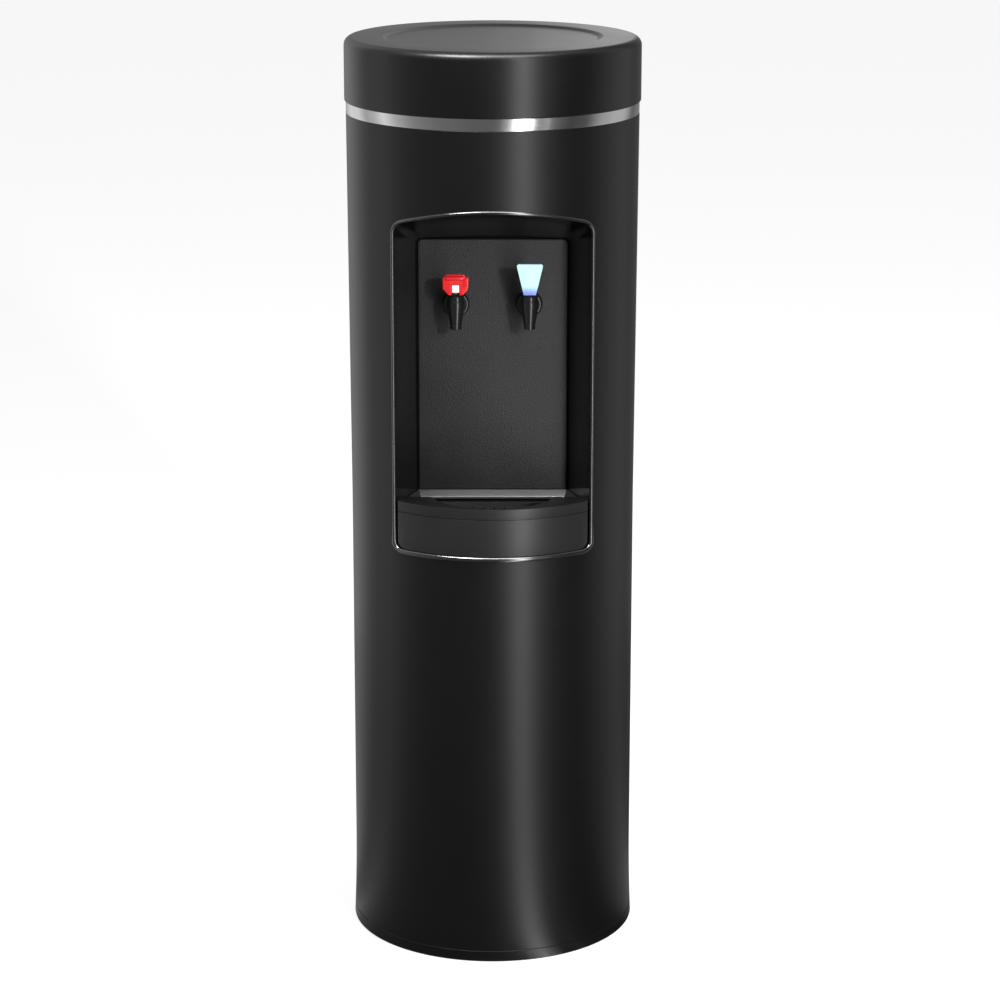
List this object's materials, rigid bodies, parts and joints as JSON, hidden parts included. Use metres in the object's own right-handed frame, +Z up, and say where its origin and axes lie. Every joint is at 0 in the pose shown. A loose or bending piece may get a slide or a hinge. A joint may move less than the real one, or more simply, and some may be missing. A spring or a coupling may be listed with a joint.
{
  "type": "water dispenser",
  "caption": "Floor-standing cylindrical hot and cold water dispenser with a lift-off lid, arched alcove, lever taps and a removable drip tray.",
  "frame": {"origin": "centre of the footprint, on the floor", "axes": "+Z up along the cabinet axis; the alcove faces -Y; +X is to the right seen from the front"},
  "size_m": [0.32, 0.32, 1.003],
  "materials": {
    "cabinet_plastic": "black satin, fine mould texture",
    "collar_plastic": "black satin",
    "lid_plastic": "black satin to semi-gloss",
    "band_steel": "brushed, polished edge",
    "liner_plastic": "black, glossy rim",
    "panel_plastic": "dark grey, fine texture",
    "tray_plastic": "dark grey satin",
    "grille_plastic": "black satin",
    "faucet_plastic": "black gloss",
    "cold_lever_plastic": "white with a cool tint",
    "hot_lever_plastic": "red",
    "lock_plastic": "pinkish white",
    "rocker_plastic": "red",
    "silicone": "translucent",
    "pin_steel": "plain",
    "tank_steel": "drawn",
    "sheet_steel": "galvanised",
    "black_metal": "black enamel",
    "copper": "drawn copper",
    "foam": "expanded foam",
    "tube_plastic": "translucent tube",
    "fitting_plastic": "white",
    "switch_plastic": "black",
    "rear_plastic": "black satin",
    "foot_rubber": "black rubber"
  },
  "bodies": {
    "cabinet": {"cabinet_shell": "cabinet_plastic", "base_plate": "sheet_steel", "rubber_feet": "foot_rubber", "top_collar": "collar_plastic", "trim_band": "band_steel", "alcove_liner": "liner_plastic", "splash_panel": "panel_plastic", "hot_faucet_body": "faucet_plastic", "cold_faucet_body": "faucet_plastic", "faucet_collars": "faucet_plastic", "faucet_nuts": "fitting_plastic", "faucet_bonnets": "faucet_plastic", "lever_pins": "pin_steel", "hot_spring": "pin_steel", "cold_spring": "pin_steel", "upper_shelf": "sheet_steel", "lower_shelf": "sheet_steel", "cold_reservoir": "tank_steel", "reservoir_cover": "fitting_plastic", "cold_jacket": "foam", "evaporator_coil": "copper", "float_valve": "fitting_plastic", "hot_tank": "tank_steel", "hot_jacket": "foam", "tank_thermostats": "switch_plastic", "heating_element": "pin_steel", "compressor": "black_metal", "compressor_mounts": "foot_rubber", "relay_box": "switch_plastic", "condenser_tube": "black_metal", "condenser_wires": "black_metal", "refrigerant_lines": "copper", "filter_drier": "copper", "cold_tube": "tube_plastic", "hot_tube": "tube_plastic", "tank_feed_tube": "tube_plastic", "inlet_tube": "tube_plastic", "rear_panel": "rear_plastic", "rear_screws": "pin_steel", "service_plate": "rear_plastic", "inlet_fitting": "fitting_plastic", "drain_fitting": "fitting_plastic", "power_inlet": "switch_plastic", "control_plate": "rear_plastic", "rocker_case": "switch_plastic"},
    "lid": {"lid": "lid_plastic"},
    "tray": {"drip_tray": "tray_plastic"},
    "grille": {"tray_grille": "grille_plastic"},
    "cold_lever": {"cold_lever": "cold_lever_plastic"},
    "hot_lever": {"hot_lever": "hot_lever_plastic"},
    "hot_lock": {"hot_lock_button": "lock_plastic"},
    "cold_valve": {"cold_plunger": "silicone", "cold_stem": "pin_steel"},
    "hot_valve": {"hot_plunger": "silicone", "hot_stem": "pin_steel"},
    "float": {"float_arm": "pin_steel", "float_ball": "foam"},
    "drain_cap": {"drain_cap": "switch_plastic"},
    "thermostat_knob": {"thermostat_knob": "switch_plastic"},
    "hot_switch": {"hot_rocker": "rocker_plastic"}
  },
  "joints": [
    {"name": "lid_lift", "type": "slide", "parent": "cabinet", "child": "lid", "axis": [0, 0, 1], "range_m": [0, 0.08]},
    {"name": "tray_slide", "type": "slide", "parent": "cabinet", "child": "tray", "axis": [0, -1, 0], "range_m": [0, 0.12]},
    {"name": "grille_lift", "type": "slide", "parent": "tray", "child": "grille", "axis": [0, 0, 1], "range_m": [0, 0.03]},
    {"name": "cold_lever_tilt", "type": "hinge", "parent": "cabinet", "child": "cold_lever", "pos_m": [0.0395, -0.086, 0.739], "axis": [1, 0, 0], "range_deg": [0, 25], "stiffness_Nm_per_rad": 0.3, "springref_deg": -5.73},
    {"name": "cold_valve_lift", "type": "slide", "parent": "cabinet", "child": "cold_valve", "axis": [0, 0, 1], "range_m": [0, 0.003], "deforming": ["cold_spring"]},
    {"name": "hot_lever_tilt", "type": "hinge", "parent": "cabinet", "child": "hot_lever", "pos_m": [-0.0395, -0.086, 0.739], "axis": [1, 0, 0], "range_deg": [0, 25], "stiffness_Nm_per_rad": 0.3, "springref_deg": -5.73},
    {"name": "hot_valve_lift", "type": "slide", "parent": "cabinet", "child": "hot_valve", "axis": [0, 0, 1], "range_m": [0, 0.003], "deforming": ["hot_spring"]},
    {"name": "hot_lock_slide", "type": "slide", "parent": "hot_lever", "child": "hot_lock", "axis": [0, 0, -1], "range_m": [0, 0.003], "stiffness_N_per_m": 200, "springref_m": -0.001},
    {"name": "float_swing", "type": "hinge", "parent": "cabinet", "child": "float", "pos_m": [0.003, 0.052, 0.882], "axis": [0, -1, 0], "range_deg": [0, 25]},
    {"name": "drain_cap_pull", "type": "slide", "parent": "cabinet", "child": "drain_cap", "axis": [0, 1, 0], "range_m": [0, 0.015]},
    {"name": "thermostat_turn", "type": "hinge", "parent": "cabinet", "child": "thermostat_knob", "pos_m": [0.028, 0.14039, 0.758], "axis": [0, 1, 0], "range_deg": [0, 270]},
    {"name": "hot_switch_rock", "type": "hinge", "parent": "cabinet", "child": "hot_switch", "pos_m": [-0.027, 0.13739, 0.758], "axis": [1, 0, 0], "range_deg": [-7, 7]}
  ],
  "couplings": [
    {"joint": "cold_valve_lift", "follows": "cold_lever_tilt", "m_per_rad": 0.00687},
    {"joint": "hot_valve_lift", "follows": "hot_lever_tilt", "m_per_rad": 0.00687}
  ]
}
